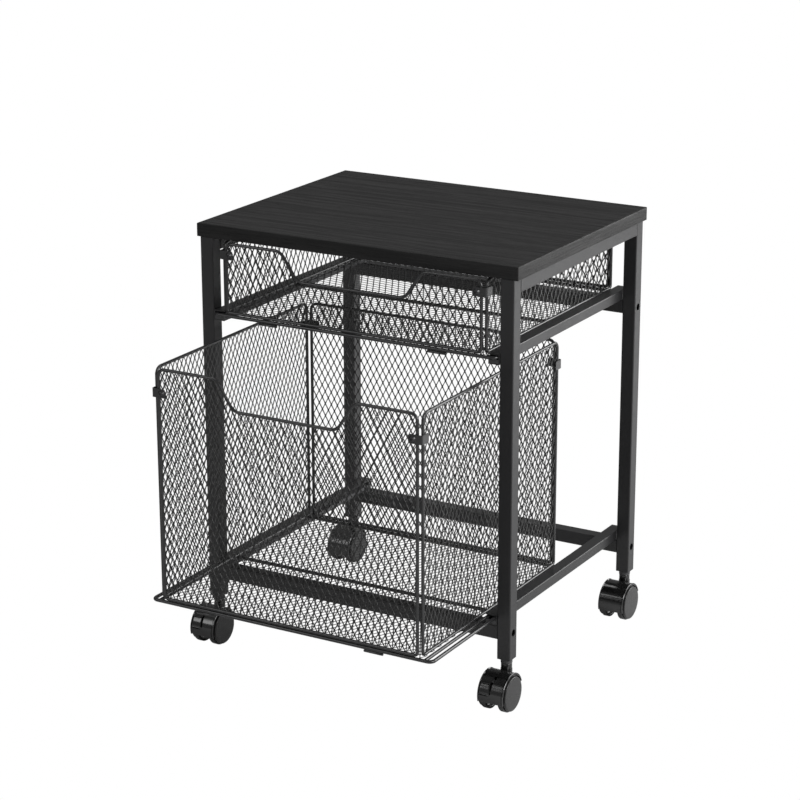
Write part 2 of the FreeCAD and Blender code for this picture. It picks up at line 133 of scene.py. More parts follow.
def roundedCorners(corners, radii, steps=8):
    # a closed path with each corner turned into an arc
    path = []
    count = len(corners)
    for i, corner in enumerate(corners):
        corner = Vector(corner)
        if radii[i] == 0:
            path.append(corner)
            continue
        back = (Vector(corners[i - 1]) - corner).normalized()
        ahead = (Vector(corners[(i + 1) % count]) - corner).normalized()
        half = back.angle(ahead) / 2
        reach = radii[i] / math.tan(half)
        centre = corner + (back + ahead).normalized() * (radii[i] / math.sin(half))
        start = corner + back * reach - centre
        end = corner + ahead * reach - centre
        sweep = start.angle(end)
        for k in range(steps + 1):
            a = k / steps
            turned = (start * math.sin((1 - a) * sweep) + end * math.sin(a * sweep)) / math.sin(sweep)
            path.append(centre + turned)
    return path


def tubeMesh(path, radius, across, sides=14, closed=True, capRound=0.0):
    # round wire along a flat path; across is the normal of the path's plane
    verts, faces = [], []
    count = len(path)
    for i, point in enumerate(path):
        into = (point - path[i - 1]).normalized() if closed or i > 0 else None
        out = (path[(i + 1) % count] - point).normalized() if closed or i < count - 1 else None
        if into is None or out is None:
            along, stretch = into or out, 1.0
        else:
            along = (into + out).normalized()
            stretch = 1 / max(meshRules["miterLimit"], along.dot(into))
        side = along.cross(across).normalized()
        for turn in turnSteps(sides):
            sideways = side * (radius * stretch * math.cos(turn))
            verts.append(point + sideways + across * (radius * math.sin(turn)))
    for i in range(count if closed else count - 1):
        faces += bandFaces(i * sides, (i + 1) % count * sides, sides)
    if not closed:
        addRoundCaps(verts, faces, path, radius, sides, across, capRound)
    return verts, faces


def addRoundCaps(verts, faces, path, radius, sides, across, capRound):
    # a small domed end on each end of an open wire
    for end, inner, first in ((0, 1, 0), (-1, -2, (len(path) - 1) * sides)):
        along = (path[end] - path[inner]).normalized()
        side = ((path[1] - path[0]) if end == 0 else (path[-1] - path[-2])).normalized().cross(across)
        for share in (0.5, 0.85):       # heights of the dome's two rings
            ring = len(verts)
            ringRadius = radius * math.sqrt(1 - share * share)
            for turn in turnSteps(sides):
                away = side * (ringRadius * math.cos(turn)) + across * (ringRadius * math.sin(turn))
                verts.append(path[end] + along * capRound * share + away)
            faces += bandFaces(first, ring, sides)
            first = ring
        verts.append(path[end] + along * capRound)
        faces += [[first + k, first + (k + 1) % sides, len(verts) - 1] for k in range(sides)]


def straightWire(start, end, radius, capRound=0.0, sides=14):
    start, end = Vector(start), Vector(end)
    across = yAxis if abs((end - start).normalized().z) > 0.9 else zAxis
    cuts = max(2, int((end - start).length / meshRules["wireStep"]))
    path = [start.lerp(end, k / cuts) for k in range(cuts + 1)]
    return tubeMesh(path, radius, across, sides, False, capRound)


def lathe(profile, centre, axis, segments=64):
    # profile is a list of (distance along axis, radius) from one pole to the other
    side = yAxis if abs(axis.y) < 0.9 else xAxis
    side = (side - axis * side.dot(axis)).normalized()
    other = axis.cross(side)
    verts, faces, rings = [], [], []
    for along, radius in profile:
        pole = radius < meshRules["mergeDistance"]
        rings.append((len(verts), pole))
        if pole:
            verts.append(centre + axis * along)
            continue
        for turn in turnSteps(segments):
            verts.append(centre + axis * along + (side * math.cos(turn) + other * math.sin(turn)) * radius)
    for (first, firstPole), (second, secondPole) in zip(rings, rings[1:]):
        if not firstPole and not secondPole:
            faces += bandFaces(first, second, segments)
            continue
        for k in range(segments):
            n = (k + 1) % segments
            if firstPole:
                faces.append([first, second + n, second + k])
            else:
                faces.append([first + k, first + n, second])
    return verts, faces


def arcProfile(centre, radius, startDegrees, endDegrees, steps=6):
    # points of an arc in (along, radius) space
    points = []
    for k in range(steps + 1):
        turn = math.radians(startDegrees + (endDegrees - startDegrees) * k / steps)
        points.append((centre[0] + radius * math.cos(turn), centre[1] + radius * math.sin(turn)))
    return points


weldLook = {
    "width": 2.0 * mm, "edgeGap": 1.0 * mm, "firstSeed": 200, "seedStep": 20, "uprightSeed": 9,
    "spacing": 0.9, "dropLength": 0.8, "dropWidth": 0.6,            # shares of the bead's width
    "wobble": 0.12, "height": 0.75, "rings": 5, "around": 10,
}


def weldDrop(centre, length, width, along, up, seed):
    # one uneven drop of weld metal, longer along the joint than across it
    rand = random.Random(seed)
    along, up = Vector(along).normalized(), Vector(up).normalized()
    side = along.cross(up)
    rings, around = weldLook["rings"], weldLook["around"]
    verts, faces = [], []
    for r in range(rings + 1):
        lift = math.pi * r / rings
        for turn in turnSteps(around):
            flat = math.sin(lift) * (1 + weldLook["wobble"] * (rand.random() - 0.5))
            out = along * (length * flat * math.cos(turn)) + side * (width * flat * math.sin(turn))
            verts.append(Vector(centre) + out + up * (width * weldLook["height"] * math.cos(lift)))
        if r:
            faces += bandFaces((r - 1) * around, r * around, around)
    return verts, faces


def weldBead(start, end, up, seed):
    # a row of overlapping drops, as a welded seam
    start, end = Vector(start), Vector(end)
    along, width = end - start, weldLook["width"]
    count = max(2, int(along.length / (width * weldLook["spacing"])))
    drops = []
    for k in range(count):
        centre = start + along * ((k + 0.5) / count)
        drops.append(weldDrop(centre, width * weldLook["dropLength"], width * weldLook["dropWidth"],
                              along, up, seed + k))
    return joinMeshes(drops)


# ---- node helpers and groups


def newGroup(name, inputs, outputs):
    # a node group of number sockets: inputs is {label: value}, outputs a list of labels
    group = bpy.data.node_groups.new(name, "ShaderNodeTree")
    for label, value in inputs.items():
        socket = group.interface.new_socket(label, in_out="INPUT", socket_type="NodeSocketFloat")
        socket.default_value = value
    for label in outputs:
        group.interface.new_socket(label, in_out="OUTPUT", socket_type="NodeSocketFloat")
    return group, group.nodes.new("NodeGroupInput"), group.nodes.new("NodeGroupOutput")


def noiseNode(tree, scale, detail=4.0, roughness=0.5, distortion=0.0):
    node = tree.nodes.new("ShaderNodeTexNoise")
    node.inputs["Scale"].default_value = scale
    node.inputs["Detail"].default_value = detail
    node.inputs["Roughness"].default_value = roughness
    node.inputs["Distortion"].default_value = distortion
    return node


def objectPlace(tree):
    return tree.nodes.new("ShaderNodeTexCoord").outputs["Object"]


def setOrLink(tree, socket, value):
    if isinstance(value, (int, float, tuple)):
        socket.default_value = value
    else:
        tree.links.new(value, socket)


def mathNode(tree, operation, *values, clamp=False):
    node = tree.nodes.new("ShaderNodeMath")
    node.operation = operation
    node.use_clamp = clamp
    for i, value in enumerate(values):
        setOrLink(tree, node.inputs[i], value)
    return node.outputs[0]


def rangeNode(tree, value, low, high, outLow=0.0, outHigh=1.0, smooth=True):
    node = tree.nodes.new("ShaderNodeMapRange")
    node.interpolation_type = "SMOOTHSTEP" if smooth else "LINEAR"
    tree.links.new(value, node.inputs["Value"])
    for label, number in (("From Min", low), ("From Max", high), ("To Min", outLow), ("To Max", outHigh)):
        node.inputs[label].default_value = number
    return node.outputs["Result"]


def mixColour(tree, share, first, second):
    node = tree.nodes.new("ShaderNodeMix")
    node.data_type = "RGBA"
    for i, value in ((0, share), (6, first), (7, second)):      # factor, then the two colours
        setOrLink(tree, node.inputs[i], value)
    return node.outputs[2]


def makeEdgeWear():
    # where edges stick out: 1 on a rubbed edge, broken up by noise
    group, given, result = newGroup("edgeWear", {"Width": 0.0006, "Amount": 0.5, "Scale": 120.0}, ["Mask"])
    link = group.links.new
    bevel = group.nodes.new("ShaderNodeBevel")
    bevel.samples = 4
    geometry = group.nodes.new("ShaderNodeNewGeometry")
    dot = group.nodes.new("ShaderNodeVectorMath")
    dot.operation = "DOT_PRODUCT"
    link(given.outputs["Width"], bevel.inputs["Radius"])
    link(bevel.outputs["Normal"], dot.inputs[0])
    link(geometry.outputs["Normal"], dot.inputs[1])
    edge = rangeNode(group, mathNode(group, "SUBTRACT", 1.0, dot.outputs["Value"]), 0.02, 0.2)
    breakUp = noiseNode(group, 120.0, 5.0, 0.6)
    link(given.outputs["Scale"], breakUp.inputs["Scale"])
    link(objectPlace(group), breakUp.inputs["Vector"])
    patches = rangeNode(group, breakUp.outputs["Fac"], 0.42, 0.62)
    rubbed = mathNode(group, "MULTIPLY", edge, patches)
    link(mathNode(group, "MULTIPLY", rubbed, given.outputs["Amount"], clamp=True), result.inputs["Mask"])
    return group


def makeCoatSkin():
    # orange peel of a sprayed or moulded skin, with slow cloudiness and fine dust
    given = {"Peel Scale": 900.0, "Cloud Scale": 9.0, "Dust": 0.3}
    group, given, result = newGroup("coatSkin", given, ["Height", "Cloud", "Dust"])
    link = group.links.new
    place = objectPlace(group)
    peel = noiseNode(group, 900.0, 2.0, 0.5)
    cloud = noiseNode(group, 9.0, 3.0, 0.55)
    specks = noiseNode(group, 2600.0, 1.0, 0.5)
    for node in (peel, cloud, specks):
        link(place, node.inputs["Vector"])
    link(given.outputs["Peel Scale"], peel.inputs["Scale"])
    link(given.outputs["Cloud Scale"], cloud.inputs["Scale"])
    upward = group.nodes.new("ShaderNodeSeparateXYZ")
    geometry = group.nodes.new("ShaderNodeNewGeometry")
    link(geometry.outputs["Normal"], upward.inputs[0])
    lying = rangeNode(group, upward.outputs["Z"], 0.35, 0.95)       # dust only settles on level faces
    scattered = rangeNode(group, specks.outputs["Fac"], 0.5, 0.68)
    settled = mathNode(group, "MULTIPLY", lying, scattered)
    settled = mathNode(group, "MULTIPLY", settled, given.outputs["Dust"], clamp=True)
    link(peel.outputs["Fac"], result.inputs["Height"])
    link(cloud.outputs["Fac"], result.inputs["Cloud"])
    link(settled, result.inputs["Dust"])
    return group


def makeWoodGrain():
    # long streaks and short open pores along X, as printed and embossed on a laminate
    given = {"Across": 60.0, "Along": 3.0}
    group, given, result = newGroup("woodGrain", given, ["Streak", "Pore", "Height"])
    link = group.links.new
    place = objectPlace(group)
    size = group.nodes.new("ShaderNodeCombineXYZ")
    parts = group.nodes.new("ShaderNodeSeparateXYZ")
    swapped = group.nodes.new("ShaderNodeCombineXYZ")
    link(place, parts.inputs[0])
    for axis, stretch, other in (("X", "Along", "Y"), ("Y", "Across", "X"), ("Z", "Across", "Z")):
        link(given.outputs[stretch], size.inputs[axis])
        link(parts.outputs[other], swapped.inputs[axis])
    geometry = group.nodes.new("ShaderNodeNewGeometry")
    facing = group.nodes.new("ShaderNodeSeparateXYZ")
    link(geometry.outputs["True Normal"], facing.inputs[0])
    sideways = mathNode(group, "GREATER_THAN", mathNode(group, "ABSOLUTE", facing.outputs["X"]), 0.7)
    turned = group.nodes.new("ShaderNodeMix")       # the end bands run along Y
    turned.data_type = "VECTOR"
    for i, value in ((0, sideways), (4, place), (5, swapped.outputs[0])):
        link(value, turned.inputs[i])
    stretched = group.nodes.new("ShaderNodeVectorMath")
    stretched.operation = "MULTIPLY"
    link(turned.outputs[1], stretched.inputs[0])
    link(size.outputs[0], stretched.inputs[1])
    broad = noiseNode(group, 1.0, 5.0, 0.55, 0.35)
    fine = noiseNode(group, 5.0, 4.0, 0.6, 0.15)
    pores = noiseNode(group, 11.0, 2.0, 0.5, 0.0)
    for node in (broad, fine, pores):
        link(stretched.outputs[0], node.inputs["Vector"])
    halfBroad = mathNode(group, "MULTIPLY", broad.outputs["Fac"], 0.5)
    blend = mathNode(group, "MULTIPLY_ADD", fine.outputs["Fac"], 0.5, halfBroad)
    streak = rangeNode(group, blend, 0.36, 0.64)
    pore = rangeNode(group, pores.outputs["Fac"], 0.60, 0.68)
    link(streak, result.inputs["Streak"])
    link(pore, result.inputs["Pore"])
    raised = mathNode(group, "MULTIPLY", streak, 0.6)
    link(mathNode(group, "SUBTRACT", raised, pore), result.inputs["Height"])
    return group


edgeWear = makeEdgeWear()
coatSkin = makeCoatSkin()
woodGrain = makeWoodGrain()

# ---- materials


def placeGroup(tree, group, values):
    node = tree.nodes.new("ShaderNodeGroup")
    node.node_tree = group
    for label, value in values.items():
        node.inputs[label].default_value = value
    return node.outputs


def newMaterial(name, **numbers):
    # numbers are set on the shader's own sockets: metallic, specular and so on
    material = bpy.data.materials.new(name)
    material.use_nodes = True
    tree = material.node_tree
    shader = tree.nodes["Principled BSDF"]
    for label, value in numbers.items():
        shader.inputs[socketNames[label]].default_value = value
    return material, tree, shader


def bumpTo(tree, shader, height, strength, distance):
    bump = tree.nodes.new("ShaderNodeBump")
    bump.inputs["Strength"].default_value = strength
    bump.inputs["Distance"].default_value = distance
    tree.links.new(height, bump.inputs["Height"])
    tree.links.new(bump.outputs["Normal"], shader.inputs["Normal"])


def coatedMaterial(name, **changes):
    # a painted or moulded skin: baseLook with this material's own changes
    look = {**baseLook, **changes}
    numbers = {label: look[label] for label in ("metallic", "specular", "coat", "coatRough")}
    material, tree, shader = newMaterial(name, **numbers)
    skin = placeGroup(tree, coatSkin, {
        "Peel Scale": look["peelScale"], "Cloud Scale": look["cloudScale"], "Dust": look["dust"]})
    wear = placeGroup(tree, edgeWear, {
        "Width": look["wearWidth"], "Amount": look["wear"], "Scale": look["wearScale"]})
    tone = mixColour(tree, skin["Cloud"], look["dark"], look["light"])
    tone = mixColour(tree, wear["Mask"], tone, look["rubbed"])
    tone = mixColour(tree, skin["Dust"], tone, look["dustColour"])
    tree.links.new(tone, shader.inputs["Base Color"])
    rough = rangeNode(tree, skin["Cloud"], 0.3, 0.7, look["roughLow"], look["roughHigh"])
    rough = mathNode(tree, "ADD", rough, mathNode(tree, "MULTIPLY", wear["Mask"], look["wearRough"]))
    dustRough = mathNode(tree, "MULTIPLY", skin["Dust"], look["dustRough"])
    tree.links.new(mathNode(tree, "ADD", rough, dustRough, clamp=True), shader.inputs["Roughness"])
    bumpTo(tree, shader, skin["Height"], look["peel"], look["peelDepth"])
    return material


def grey(value, blue=0.0):
    return (value, value, value + blue, 1)


socketNames = {
    "colour": "Base Color", "rough": "Roughness", "metallic": "Metallic", "specular": "Specular IOR Level",
    "coat": "Coat Weight", "coatRough": "Coat Roughness",
}
baseLook = {
    "dark": grey(0.016, 0.001), "light": grey(0.026, 0.001), "rubbed": grey(0.06, 0.002),
    "dustColour": grey(0.1),
    "peelScale": 900.0, "cloudScale": 9.0, "peel": 0.35, "peelDepth": 0.12 * mm,
    "roughLow": 0.30, "roughHigh": 0.42, "wear": 0.5, "wearWidth": 0.7 * mm, "wearScale": 150.0,
    "wearRough": 0.05, "dust": 0.2, "dustRough": 0.25, "metallic": 0.0, "specular": 0.5,
    "coat": 0.0, "coatRough": 0.2,
}
frameCoat = coatedMaterial("framePowderCoat")
wireCoat = coatedMaterial("wirePowderCoat", peelScale=1400.0, roughLow=0.22, roughHigh=0.32, specular=0.7)
meshCoat = coatedMaterial(
    "meshPowderCoat", dark=grey(0.013), light=grey(0.022), peelScale=2200.0, roughLow=0.34, roughHigh=0.46,
    wearWidth=0.2 * mm, wear=0.3)
hoodNylon = coatedMaterial(
    "glossHoodNylon", dark=grey(0.004), light=grey(0.007), peelScale=500.0, peel=0.12, roughLow=0.12,
    roughHigh=0.2, dust=0.12, wear=0.2, specular=1.0)
wheelNylon = coatedMaterial(
    "wheelNylon", dark=grey(0.022), light=grey(0.034), peelScale=700.0, peel=0.18, roughLow=0.2,
    roughHigh=0.32, dust=0.25, wear=0.3, wearWidth=1.2 * mm)
insertNylon = coatedMaterial(
    "insertNylon", dark=grey(0.05, 0.002), light=grey(0.075, 0.003), roughLow=0.4, roughHigh=0.55)
blackScrew = coatedMaterial(
    "blackScrewSteel", dark=grey(0.035, 0.002), light=grey(0.06, 0.003), metallic=0.4, roughLow=0.22,
    roughHigh=0.34, specular=0.8, peelScale=2500.0, wear=0.6, wearWidth=0.3 * mm)
zincSteel = coatedMaterial(
    "zincSteel", dark=grey(0.42, 0.01), light=grey(0.56, 0.01), rubbed=grey(0.7), metallic=1.0,
    roughLow=0.25, roughHigh=0.38, peelScale=1800.0, dust=0.05)

woodLook = {
    "dark": grey(0.011), "light": (0.021, 0.0205, 0.0205, 1), "worn": (0.055, 0.054, 0.053, 1),
    "dust": grey(0.05), "specular": 0.22, "roughLow": 0.38, "roughHigh": 0.56, "poreRough": 0.15,
    "poreDark": 0.8, "bump": 0.6, "bumpDepth": 0.22 * mm,
    "grain": {"Across": 150.0, "Along": 5.0},
    "skin": {"Peel Scale": 1500.0, "Cloud Scale": 5.0, "Dust": 0.12},
    "wear": {"Width": 0.8 * mm, "Amount": 0.6, "Scale": 90.0},
}


def makeBoardMaterial(look):
    material, tree, shader = newMaterial("blackWoodLaminate", specular=look["specular"])
    grain = placeGroup(tree, woodGrain, look["grain"])
    skin = placeGroup(tree, coatSkin, look["skin"])
    wear = placeGroup(tree, edgeWear, look["wear"])
    tone = mixColour(tree, grain["Streak"], look["dark"], look["light"])
    tone = mixColour(tree, mathNode(tree, "MULTIPLY", grain["Pore"], look["poreDark"]), tone, look["dark"])
    tone = mixColour(tree, wear["Mask"], tone, look["worn"])
    tone = mixColour(tree, skin["Dust"], tone, look["dust"])
    tree.links.new(tone, shader.inputs["Base Color"])
    rough = rangeNode(tree, grain["Streak"], 0.0, 1.0, look["roughHigh"], look["roughLow"])
    poreRough = mathNode(tree, "MULTIPLY", grain["Pore"], look["poreRough"])
    tree.links.new(mathNode(tree, "ADD", rough, poreRough, clamp=True), shader.inputs["Roughness"])
    bumpTo(tree, shader, grain["Height"], look["bump"], look["bumpDepth"])
    return material


boardLaminate = makeBoardMaterial(woodLook)
print("stage: materials")

# ---- expanded metal sheets

meshLook = {
    "lower": {"pitchAcross": 8.3 * mm, "pitchUp": 15.0 * mm, "strand": 1.0 * mm},
    "upper": {"pitchAcross": 10.0 * mm, "pitchUp": 18.0 * mm, "strand": 1.1 * mm},
    "thickness": 0.55 * mm, "twist": 0.22 * mm, "sideInset": 1.0 * mm,
    "bluntAcross": 0.12, "bluntUp": 0.10,           # how square a hole's corners are, as shares
    "cutSteps": 14,                                 # halvings that find where an edge is cut
}


def clipMesh(points, faces, inside):
    # keeps what lies where inside(u, v) > 0; cut edges get a shared new point
    cut = {}
    level = [inside(p[0], p[1]) for p in points]

    def crossing(i, j):
        key = (min(i, j), max(i, j))
        if key not in cut:
            a, b = points[key[0]], points[key[1]]
            low, high = 0.0, 1.0
            for _ in range(meshLook["cutSteps"]):
                half = (low + high) / 2
                here = inside(a[0] + (b[0] - a[0]) * half, a[1] + (b[1] - a[1]) * half)
                if (here > 0) == (level[key[0]] > 0):
                    low = half
                else:
                    high = half
            cut[key] = len(points)
            points.append(tuple(a[k] + (b[k] - a[k]) * low for k in range(3)))
        return cut[key]

    kept = []
    for face in faces:
        if all(level[i] > 0 for i in face):
            kept.append(face)
            continue
        clipped = []
        for k, i in enumerate(face):
            j = face[(k + 1) % len(face)]
            if level[i] > 0:
                clipped.append(i)
            if (level[i] > 0) != (level[j] > 0):
                clipped.append(crossing(i, j))
        if len(clipped) >= 3:
            kept.append(clipped)
    return kept


def latticeCell(cu, cv, halfU, halfV, strand, twist):
    # one diamond opening: its four outer corners and the eight corners of the hole
    depth = halfU * halfV / math.hypot(halfU, halfV)
    share = 1 - strand / 2 / depth
    a, b = halfU * share, halfV * share
    bluntU, bluntV = meshLook["bluntAcross"], meshLook["bluntUp"]
    tip, side = (a * bluntV, b * (1 - bluntV)), (a * (1 - bluntU), b * bluntU)
    hole = [tip, side, (side[0], -side[1]), (tip[0], -tip[1])]
    hole += [(-u, -v) for u, v in hole]
    outer = [(0, halfV), (halfU, 0), (0, -halfV), (-halfU, 0)]
    corners = [(cu + u, cv + v, 0.0) for u, v in outer]
    inner = [(cu + u, cv + v, twist * v / b) for u, v in hole]
    return corners, inner


def diamondSheet(low, high, insides, look):
    # the flat lattice over a rectangle, clipped to its outline, then given thickness
    halfU, halfV = look["pitchAcross"] / 2, look["pitchUp"] / 2
    index, points, faces = {}, [], []

    def sharedPoint(p):
        key = (round(p[0], 7), round(p[1], 7))
        if key not in index:
            index[key] = len(points)
            points.append(p)
        return index[key]

    columns = int((high[0] - low[0]) / halfU) + 3
    rows = int((high[1] - low[1]) / halfV) + 3
    middleU = (low[0] + high[0]) / 2
    for i in range(-columns // 2, columns // 2 + 1):
        for j in range(-1, rows):
            if (i + j) % 2:
                continue
            cu, cv = middleU + i * halfU, low[1] + j * halfV
            outer, inner = latticeCell(cu, cv, halfU, halfV, look["strand"], meshLook["twist"])
            o = [sharedPoint(p) for p in outer]
            h = list(range(len(points), len(points) + 8))
            points.extend(inner)
            for side in range(4):
                after = (side + 1) % 4
                faces.append([o[side], o[after], h[(2 * side + 1) % 8], h[2 * side]])
                faces.append([o[after], h[(2 * side + 2) % 8], h[2 * side + 1]])
    for inside in insides:
        faces = clipMesh(points, faces, inside)
    used = sorted({i for face in faces for i in face})
    renumber = {old: new for new, old in enumerate(used)}
    lift = meshLook["thickness"] / 2
    verts = [(points[i][0], points[i][1], points[i][2] + out) for out in (lift, -lift) for i in used]
    return verts, doubleSkin([[renumber[i] for i in face] for face in faces], len(used))


def roundedTop(half, top, radius):
    # height of a rounded outline's upper edge at a place across
    def height(u):
        past = abs(u) - (half - radius)
        if past <= 0:
            return top
        past = min(past, radius)
        return top - radius + math.sqrt(max(0.0, radius * radius - past * past))
    return height


# ---- drawers

drawerLook = {
    "panelWire": 1.75 * mm, "runnerWire": 2.0 * mm, "corner": 8.0 * mm, "footCorner": 4.0 * mm,
    "runnerCorner": 6.0 * mm, "dipFlare": 21.5 * mm, "dipRadius": 14.0 * mm,
    "dipHalf": {"lower": 63.5 * mm, "upper": 67.0 * mm},
    "dipDepth": {"lower": 33.0 * mm, "upper": 31.7 * mm},
    "innerRunner": 167.3 * mm, "stopBar": 1.5 * mm, "stopBarAt": 106.0 * mm, "stopBarHalf": 11.0 * mm,
    "stopBarCap": 0.6, "stopWeldAt": 0.7,           # shares of the bar's radius and of its half length
    "weld": (2.6 * mm, 1.6 * mm), "stopWeld": (2.0 * mm, 1.3 * mm),
    "panelSides": 16, "runnerSides": 18, "bendSteps": 10,
    "endSeed": 11, "middleSeed": 31, "stopSeed": 70,
}


def dipOutline(half, foot, top, level):
    look = drawerLook
    dip, dipHalf = top - look["dipDepth"][level], look["dipHalf"][level]
    right = [(half, foot), (half, top), (dipHalf + look["dipFlare"], top), (dipHalf, dip)]
    left = [(-x, z) for x, z in reversed(right)]
    radii = [look["footCorner"], look["corner"], look["dipRadius"], look["dipRadius"]]
    return [(0, foot)] + right + left, [0] + radii + radii[::-1]


def plainOutline(half, foot, top):
    look = drawerLook
    points = [(0, foot), (half, foot), (half, top), (-half, top), (-half, foot)]
    return points, [0, look["footCorner"], look["corner"], look["corner"], look["footCorner"]]


def dipTop(half, top, level):
    # upper edge of the front panel, read off its rounded outline
    dip = top - drawerLook["dipDepth"][level]
    points, radii = dipOutline(half, top - 1, top, level)
    path = roundedCorners([(x, 0, z) for x, z in points], radii, 24)
    edge = sorted((p.x, p.z) for p in path if p.z > top - 0.5 and p.x >= 0)

    def height(u):
        u = abs(u)
        for (x0, z0), (x1, z1) in zip(edge, edge[1:]):
            if x0 <= u <= x1 and x1 > x0:
                return z0 + (z1 - z0) * (u - x0) / (x1 - x0)
        return dip if u < edge[0][0] else edge[-1][1]
    return height


def panelNormal(place):
    return (place(1, 0) - place(0, 0)).cross(place(0, 1) - place(0, 0)).normalized()


def wirePanel(place, outline):
    look = drawerLook
    points, radii = outline
    path = roundedCorners([place(u, v) for u, v in points], radii, look["bendSteps"])
    return tubeMesh(path, look["panelWire"], panelNormal(place), look["panelSides"])


def sheetPanel(place, low, high, topHeight, look):
    half = (high[0] - low[0]) / 2
    middle = (high[0] + low[0]) / 2
    insides = [
        lambda u, v: half - abs(u - middle),
        lambda u, v: v - low[1],
        lambda u, v: topHeight(u) - v,
    ]
    verts, faces = diamondSheet(low, high, insides, look)
    normal = panelNormal(place)
    return [place(v[0], v[1]) + normal * v[2] for v in verts], faces


def buildPanels(level):
    body, wire = f"{level}_drawer", drawerLook["panelWire"]
    for side in ("front", "back", "left", "right"):
        low, high = boxOf(f"{body}_{side}_wire")
        foot, top = low.z + wire, high.z - wire
        middle = (low + high) / 2
        if side in ("front", "back"):
            half = (high.x - low.x) / 2 - wire
            place = lambda u, v, y=middle.y: Vector((u, y, v))
        else:
            half = (high.y - low.y) / 2 - wire
            place = lambda u, v, x=middle.x, y=middle.y: Vector((x, y + u, v))
        if side == "front":
            outline, topHeight = dipOutline(half, foot, top, level), dipTop(half, top, level)
        else:
            outline, topHeight = plainOutline(half, foot, top), roundedTop(half, top, drawerLook["corner"])
        addPiece(f"{body}_{side}_bentWire", wirePanel(place, outline), wireCoat, body,
                 stands=[f"{body}_{side}_wire"])
        sheet = sheetPanel(place, (-half, foot), (half, top), topHeight, meshLook[level])
        addPiece(f"{body}_{side}_diamondMesh", sheet, meshCoat, body,
                 stands=[f"{body}_{side}_mesh"], smooth=False)


def buildFloorMesh(level):
    body, inset = f"{level}_drawer", meshLook["sideInset"]
    low, high = boxOf(f"{body}_floor_mesh")
    z = (low.z + high.z) / 2 + meshLook["twist"]
    insides = [
        lambda u, v: min(u - low.x - inset, high.x - inset - u),
        lambda u, v: min(v - low.y, high.y - v),
    ]
    verts, faces = diamondSheet((low.x, low.y), (high.x, high.y), insides, meshLook["lower"])
    verts = [Vector((v[0], v[1], z + v[2])) for v in verts]
    addPiece(f"{body}_floor_diamondMesh", (verts, faces), meshCoat, body,
             stands=[f"{body}_floor_mesh"], smooth=False)


def buildBaseWires(level):
    body, look = f"{level}_drawer", drawerLook
    low, high = boxOf(f"{body}_base_wires")
    runner, bar, sides = look["runnerWire"], look["stopBar"], look["runnerSides"]
    z, half = high.z - runner, high.x - runner
    front, back = low.y + runner, high.y - runner
    corners = [(0, front, z), (half, front, z), (half, back, z), (-half, back, z), (-half, front, z)]
    loop = roundedCorners(corners, [0] + [look["runnerCorner"]] * 4, look["bendSteps"])
    parts = [tubeMesh(loop, runner, zAxis, sides)]
    inner, middle = look["innerRunner"], (front + back) / 2
    reach = inner - runner
    parts.append(straightWire((-reach, middle, z), (reach, middle, z), runner, 0.0, sides))
    for side in (-1, 1):
        x = side * inner
        parts.append(straightWire((x, front + runner, z), (x, back - runner, z), runner, 0.0, sides))
        for y in (front + runner, back - runner):
            parts.append(weldDrop((x, y, z), *look["weld"], xAxis, yAxis, look["endSeed"] + side))
        spot = (side * reach, middle, z)
        parts.append(weldDrop(spot, *look["weld"], yAxis, xAxis, look["middleSeed"] + side))
    half, barZ, cap = look["stopBarHalf"], z - runner - bar, bar * look["stopBarCap"]
    for side in (-1, 1):
        x = side * look["stopBarAt"]
        parts.append(straightWire((x - half, front, barZ), (x + half, front, barZ), bar, cap))
        for end in (-1, 1):
            spot = (x + end * half * look["stopWeldAt"], front, z - runner)
            parts.append(weldDrop(spot, *look["stopWeld"], xAxis, yAxis, look["stopSeed"] + end))
    addPiece(f"{body}_baseWireFrame", joinMeshes(parts), wireCoat, body,
             stands=[f"{body}_base_wires"])


for level in ("lower", "upper"):
    buildPanels(level)
    buildFloorMesh(level)
    buildBaseWires(level)
    print("stage:", level, "drawer")

# ---- corner clips, their screws and nuts

clipLook = {
    "thickness": 1.0 * mm, "height": 9.9 * mm, "frontReach": 149.5 * mm, "sideReach": 13.6 * mm,
    "bend": 2.0 * mm, "tabRound": 2.2 * mm, "screwAt": 154.3 * mm, "headRadius": 3.8 * mm,
    "headHeight": 2.5 * mm, "rimInner": 2.55 * mm, "rimOuter": 3.05 * mm,
    "rimDepth": 0.45 * mm, "crossReach": 1.7 * mm, "crossHalf": 0.42 * mm, "crossDepth": 1.1 * mm,
    "crossTaper": 0.45, "boltRadius": 1.5 * mm, "boltLength": 5.7 * mm, "threadPitch": 0.5 * mm,
    "threadRoot": 0.84, "threadTip": 0.8,           # shares of the bolt's radius
    "nutRadius": 2.8 * mm, "nutHeight": 2.2 * mm, "nutAt": 2.95 * mm,
}


def bentStrip(path, normals, halfHeight, thickness, endRound, rows=7):
    # a strip that follows a level path, with rounded corners at both free ends
    lengths = [0.0]
    for before, after in zip(path, path[1:]):
        lengths.append(lengths[-1] + (after - before).length)
    verts, faces = [], []
    for sign in (0.5, -0.5):
        for point, normal, along in zip(path, normals, lengths):
            near = min(along, lengths[-1] - along)
            half = halfHeight
            if near < endRound:
                half -= endRound - math.sqrt(max(0.0, endRound ** 2 - (endRound - near) ** 2))
            for row in range(rows):
                up = half * (2 * row / (rows - 1) - 1)
                verts.append(point + normal * (sign * thickness) + zAxis * up)
    count = len(path)
    back = count * rows
    for i in range(count - 1):
        for row in range(rows - 1):
            a = i * rows + row
            faces.append([a, a + rows, a + rows + 1, a + 1])
            faces.append([back + a, back + a + 1, back + a + rows + 1, back + a + rows])
        for row in (0, rows - 1):
            a = i * rows + row
            faces.append([a, a + back, a + back + rows, a + rows])
    for i in (0, count - 1):
        for row in range(rows - 1):
            a = i * rows + row
            faces.append([a, a + 1, a + 1 + back, a + back])
    return verts, faces


